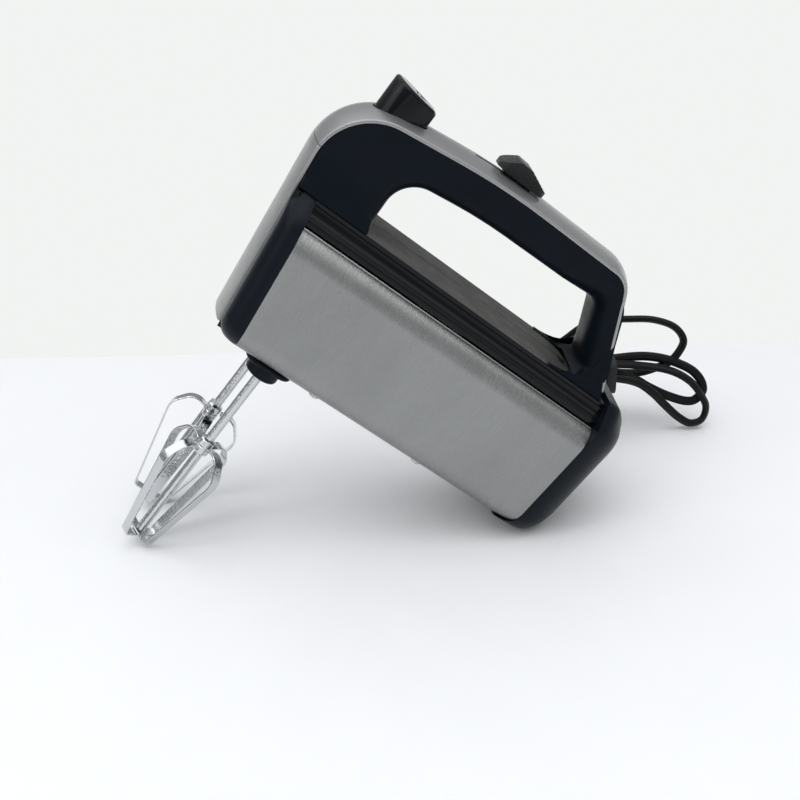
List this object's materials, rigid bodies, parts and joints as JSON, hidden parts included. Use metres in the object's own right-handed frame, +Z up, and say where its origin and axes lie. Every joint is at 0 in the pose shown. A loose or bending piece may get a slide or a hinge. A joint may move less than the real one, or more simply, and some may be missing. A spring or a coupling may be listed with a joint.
{
  "type": "hand mixer",
  "caption": "Electric hand mixer leaning on its beater tips and heel, with arched handle, eject button, speed slider, open worm drive inside and a tied, folded mains lead with plug.",
  "frame": {"origin": "On the surface that the mixer leans on, under the middle of its bounding box without the lead.", "axes": "+Z up, +X from the beaters towards the heel and the lead, +Y towards the flank that the lead leaves from. The mixer leans in its resting pose: its own long axis points 38.8 degrees below +X."},
  "size_m": [0.3317, 0.1986, 0.2266],
  "materials": {
    "steel": "brushed across the long axis",
    "navy": "satin, slightly grained",
    "gloss": "high gloss",
    "grey": "fine matt texture",
    "silver": "silver paint, satin",
    "pale": "matt",
    "chrome": "polished",
    "machined": "machined",
    "nylon": "moulded nylon",
    "copper": "enamelled copper wire",
    "carbon": "moulded holder with carbon brush",
    "phenolic": "moulded phenolic",
    "rubber": "smooth flexible sheath"
  },
  "bodies": {
    "housing": {"front_bezel": "navy", "steel_sleeve": "steel", "near_trim_rail": "gloss", "far_trim_rail": "gloss", "top_cover": "grey", "rear_cap": "navy", "socket_flange": "navy", "front_channel": "gloss", "front_panel": "silver", "handle_frame": "navy", "handle_cover": "silver", "slot_liner": "pale", "speed_switch": "phenolic", "eject_spring": "machined", "drive_frame": "nylon", "front_bush": "machined", "rear_bush": "machined", "stator": "machined", "upper_field_coil": "copper", "lower_field_coil": "copper", "near_brush_holder": "carbon", "far_brush_holder": "carbon", "base_screw_1": "machined", "base_screw_2": "machined", "base_screw_3": "machined", "base_screw_4": "machined", "handle_screw_1": "machined", "handle_screw_2": "machined", "handle_screw_3": "machined", "handle_screw_4": "machined", "cap_screw_1": "machined", "cap_screw_2": "machined", "strain_relief": "rubber", "cord": "rubber", "cord_tie": "rubber", "plug_body": "rubber", "plug_pin_1": "chrome", "plug_pin_2": "chrome"},
    "eject": {"eject_button": "gloss", "eject_yoke": "nylon"},
    "slider": {"speed_slider": "gloss"},
    "rotor": {"motor_shaft": "machined", "armature_core": "machined", "commutator": "copper", "cooling_fan": "nylon"},
    "near_drive": {"near_spindle": "machined", "near_worm_wheel": "nylon"},
    "far_drive": {"far_spindle": "machined", "far_worm_wheel": "nylon"},
    "near_beater": {"near_beater_shaft": "chrome", "near_beater_strip_a": "chrome", "near_beater_strip_b": "chrome"},
    "far_beater": {"far_beater_shaft": "chrome", "far_beater_strip_a": "chrome", "far_beater_strip_b": "chrome"}
  },
  "joints": [
    {"name": "motor_spin", "type": "hinge", "parent": "housing", "child": "rotor", "pos_m": [0.0083, -0.0006, 0.10187], "axis": [0.7794, 0, -0.6265], "continuous": true},
    {"name": "near_spindle_spin", "type": "hinge", "parent": "housing", "child": "near_drive", "pos_m": [-0.04543, -0.0196, 0.09887], "axis": [0.6265, 0, 0.7794], "continuous": true},
    {"name": "far_spindle_spin", "type": "hinge", "parent": "housing", "child": "far_drive", "pos_m": [-0.04543, 0.0184, 0.09887], "axis": [0.6265, 0, 0.7794], "continuous": true},
    {"name": "near_beater_pull", "type": "slide", "parent": "near_drive", "child": "near_beater", "axis": [-0.6265, 0, -0.7794], "range_m": [0, 0.045]},
    {"name": "far_beater_pull", "type": "slide", "parent": "far_drive", "child": "far_beater", "axis": [-0.6265, 0, -0.7794], "range_m": [0, 0.045]},
    {"name": "eject_press", "type": "slide", "parent": "housing", "child": "eject", "axis": [-0.6265, 0, -0.7794], "range_m": [0, 0.006], "stiffness_N_per_m": 600, "springref_m": -0.005, "deforming": ["eject_spring"]},
    {"name": "speed_slide", "type": "slide", "parent": "housing", "child": "slider", "axis": [-0.7794, 0, 0.6265], "range_m": [0, 0.014]}
  ],
  "couplings": [
    {"joint": "near_spindle_spin", "follows": "motor_spin", "ratio": 0.033333},
    {"joint": "far_spindle_spin", "follows": "motor_spin", "ratio": -0.033333}
  ]
}
